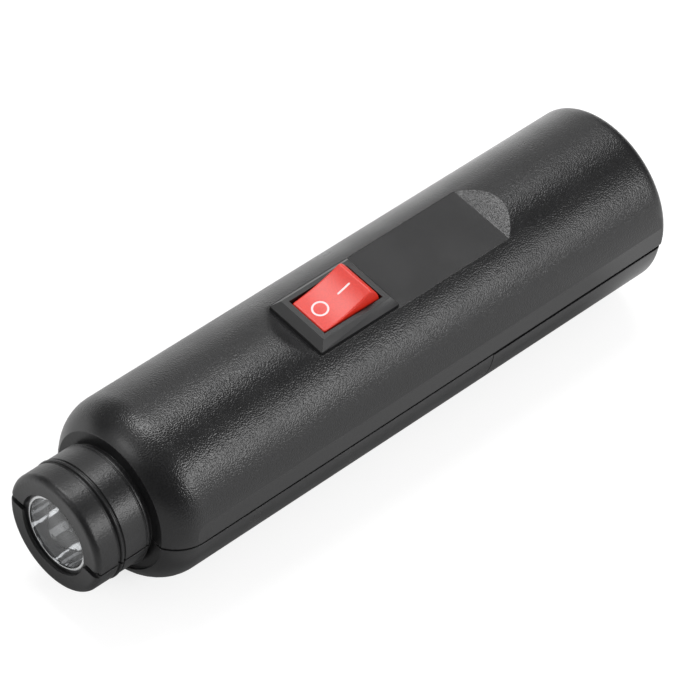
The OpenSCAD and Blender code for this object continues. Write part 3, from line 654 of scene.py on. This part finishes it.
def make_camera():
    """The photograph's viewpoint, from a fit of the outline, in millimetres and degrees."""
    azimuth, elevation, roll = (math.radians(v) for v in (127.91, 48.36, 11.44))
    distance, aside, above = 901.63, -3.88, 0.12
    focal_pixels, image_pixels, sensor = 4509.8, 680, 36
    target = Vector((-5.83, 0, AXIS_Z))
    level = Vector((math.cos(azimuth), math.sin(azimuth), 0))
    ahead = Vector((math.sin(azimuth), -math.cos(azimuth), 0))
    back = ahead * math.cos(elevation) + Vector((0, 0, math.sin(elevation)))
    upright = back.cross(level)
    right = level * math.cos(roll) + upright * math.sin(roll)
    up = upright * math.cos(roll) - level * math.sin(roll)
    camera = bpy.data.objects.new("camera", bpy.data.cameras.new("camera"))
    bpy.context.scene.collection.objects.link(camera)
    camera.data.sensor_width = sensor
    camera.data.lens = focal_pixels * sensor / image_pixels
    camera.data.clip_start = 0.05
    camera.data.clip_end = 20
    turn = Matrix((right, up, back)).transposed()
    place = target + back * distance + right * aside + up * above
    camera.matrix_world = Matrix.Translation(place * MM) @ turn.to_4x4()
    bpy.context.scene.camera = camera


def softbox(name, direction, along, size, power):
    """A rectangular studio light that faces the part, with its first side along a direction."""
    light = bpy.data.lights.new(name, "AREA")
    light.shape = "RECTANGLE"
    light.size, light.size_y = size
    light.energy = power
    lamp = bpy.data.objects.new(name, light)
    bpy.context.scene.collection.objects.link(lamp)
    aim = Vector(direction).normalized()
    side = aim.cross(Vector(along)).normalized()
    turn = Matrix((side.cross(aim), side, aim)).transposed()
    place = Vector((0, 0, AXIS_Z * MM)) + aim * LAMP_DISTANCE
    lamp.matrix_world = Matrix.Translation(place) @ turn.to_4x4()
    lamp.visible_camera = False


def facing(tree, direction, toward):
    """How closely a direction points toward another, up to 1."""
    made = add(tree, "ShaderNodeVectorMath", {0: direction, 1: toward}, operation="DOT_PRODUCT")
    return made.outputs["Value"]


def studio_gloss(tree, direction):
    """Level of the studio in the part's gloss: dim overhead, behind, far aside and before the nose."""
    x, y, _ = add(tree, "ShaderNodeSeparateXYZ", {0: direction}).outputs
    overhead = spread(tree, facing(tree, direction, CEILING), 0.72, 0.92, 1.0, 0.10)
    behind = spread(tree, x, -0.85, -0.62, 0.03, 1.0)
    before = spread(tree, facing(tree, direction, NOSE_SIDE), 0.25, 0.60, 1.0, 0.05)
    shade = calculate(
        tree, "MULTIPLY", spread(tree, x, -0.65, -0.1, 0.0, 0.85), spread(tree, y, -0.8, -0.5, 1.0, 0.0))
    aside = calculate(tree, "SUBTRACT", 1.0, shade)
    return join(tree, "MULTIPLY", overhead, behind, aside, before)


def lens_room(tree, direction):
    """Level of the room through the lens: dim, with three windows."""
    level = DIM_ROOM
    for toward, strength in WINDOWS:
        window = spread(tree, facing(tree, direction, toward), *WINDOW_EDGE, DIM_ROOM, strength)
        level = calculate(tree, "MAXIMUM", window, level)
    return level


def make_world():
    """White to the camera, soft light on the part, and rooms of their own in its gloss and its lens."""
    world = bpy.data.worlds.new("studio")
    bpy.context.scene.world = world
    world.use_nodes = True
    tree = world.node_tree
    tree.nodes.clear()
    direction = add(tree, "ShaderNodeTexCoord").outputs["Generated"]
    y = add(tree, "ShaderNodeSeparateXYZ", {0: direction}).outputs["Y"]
    soft = add(tree, "ShaderNodeBackground", {
        "Color": (1, 1, 1, 1), "Strength": spread(tree, y, 0.1, 0.8, 0.5, 1.1)})
    rooms = {
        "Is Glossy Ray": studio_gloss(tree, direction),
        "Is Transmission Ray": lens_room(tree, direction),
        "Is Camera Ray": 1.0,
    }
    path = add(tree, "ShaderNodeLightPath").outputs
    shown = soft.outputs[0]
    for ray, level in rooms.items():
        room = add(tree, "ShaderNodeBackground", {"Color": (1, 1, 1, 1), "Strength": level})
        mixed = add(tree, "ShaderNodeMixShader", {0: path[ray], 1: shown, 2: room.outputs[0]})
        shown = mixed.outputs[0]
    output = tree.nodes.new("ShaderNodeOutputWorld")
    tree.links.new(shown, output.inputs["Surface"])


def floor_gloss(tree):
    """Level of the floor in the part's gloss: dark under the part, and pale beside it and at its ends."""
    x, y, _ = add(tree, "ShaderNodeSeparateXYZ", {0: place_coords(tree)}).outputs
    # Each band is along or across the part, with the levels at its two ends
    far_side = across(tree, y, (-45, -15), (1.1, 0.0))
    near_side = join(
        tree, "MULTIPLY", across(tree, y, (25, 55), (0.0, 0.9)),
        across(tree, x, (30, 80), (1.0, 0.2)), across(tree, x, (-110, 30), (0.4, 1.0)))
    sides = calculate(
        tree, "MULTIPLY", across(tree, x, (-110, 0), (1.0, 0.5)),
        calculate(tree, "ADD", far_side, near_side))
    front = calculate(
        tree, "MULTIPLY", across(tree, x, (82, 100), (0.0, 0.9)), across(tree, y, (0, 40), (1.0, 0.1)))
    ends = calculate(tree, "ADD", across(tree, x, (-125, -95), (0.8, 0.0)), front)
    tail = calculate(
        tree, "MULTIPLY", across(tree, x, (-88, -58), (0.6, 0.0)), across(tree, y, (0, 12)))
    strip = calculate(
        tree, "MULTIPLY", across(tree, x, (-50, 60), (0.32, 0.18)), across(tree, y, (24, 31)))
    return join(tree, "MAXIMUM", sides, ends, tail, strip)


def floor_paper():
    """White paper that keeps the shadow, with its own levels in gloss and lens, and clear from below."""
    material = bpy.data.materials.new("white_floor")
    material.use_nodes = True
    tree = material.node_tree
    tree.nodes.clear()
    path = add(tree, "ShaderNodeLightPath").outputs
    seen = calculate(tree, "MULTIPLY", path["Is Camera Ray"], FLOOR_WHITE)
    mirrored = calculate(tree, "MULTIPLY", path["Is Glossy Ray"], floor_gloss(tree))
    paper = add(tree, "ShaderNodeBsdfDiffuse", {"Color": (FLOOR_PAPER, FLOOR_PAPER, FLOOR_PAPER, 1)})
    glow = add(tree, "ShaderNodeEmission", {"Strength": calculate(tree, "ADD", seen, mirrored)})
    both = add(tree, "ShaderNodeAddShader", {0: paper.outputs[0], 1: glow.outputs[0]})
    dim = add(tree, "ShaderNodeEmission", {"Strength": DIM_ROOM})
    through = add(tree, "ShaderNodeMixShader", {
        0: path["Is Transmission Ray"], 1: both.outputs[0], 2: dim.outputs[0]})
    clear = tree.nodes.new("ShaderNodeBsdfTransparent")
    below = add(tree, "ShaderNodeNewGeometry").outputs["Backfacing"]
    shown = add(tree, "ShaderNodeMixShader", {0: below, 1: through.outputs[0], 2: clear.outputs[0]})
    output = tree.nodes.new("ShaderNodeOutputMaterial")
    tree.links.new(shown.outputs[0], output.inputs["Surface"])
    return material


def make_floor():
    """A wide floor just under the part."""
    mesh = bpy.data.meshes.new("floor")
    signs = ((-1, -1), (1, -1), (1, 1), (-1, 1))
    mesh.from_pydata([(x * FLOOR_REACH, y * FLOOR_REACH, FLOOR_Z) for x, y in signs], [], [(0, 1, 2, 3)])
    mesh.materials.append(floor_paper())
    floor = bpy.data.objects.new("floor", mesh)
    bpy.context.scene.collection.objects.link(floor)


bpy.context.scene.view_settings.view_transform = "Standard"
make_camera()
make_world()
make_floor()
for lamp_row in LAMPS:
    softbox(*lamp_row)
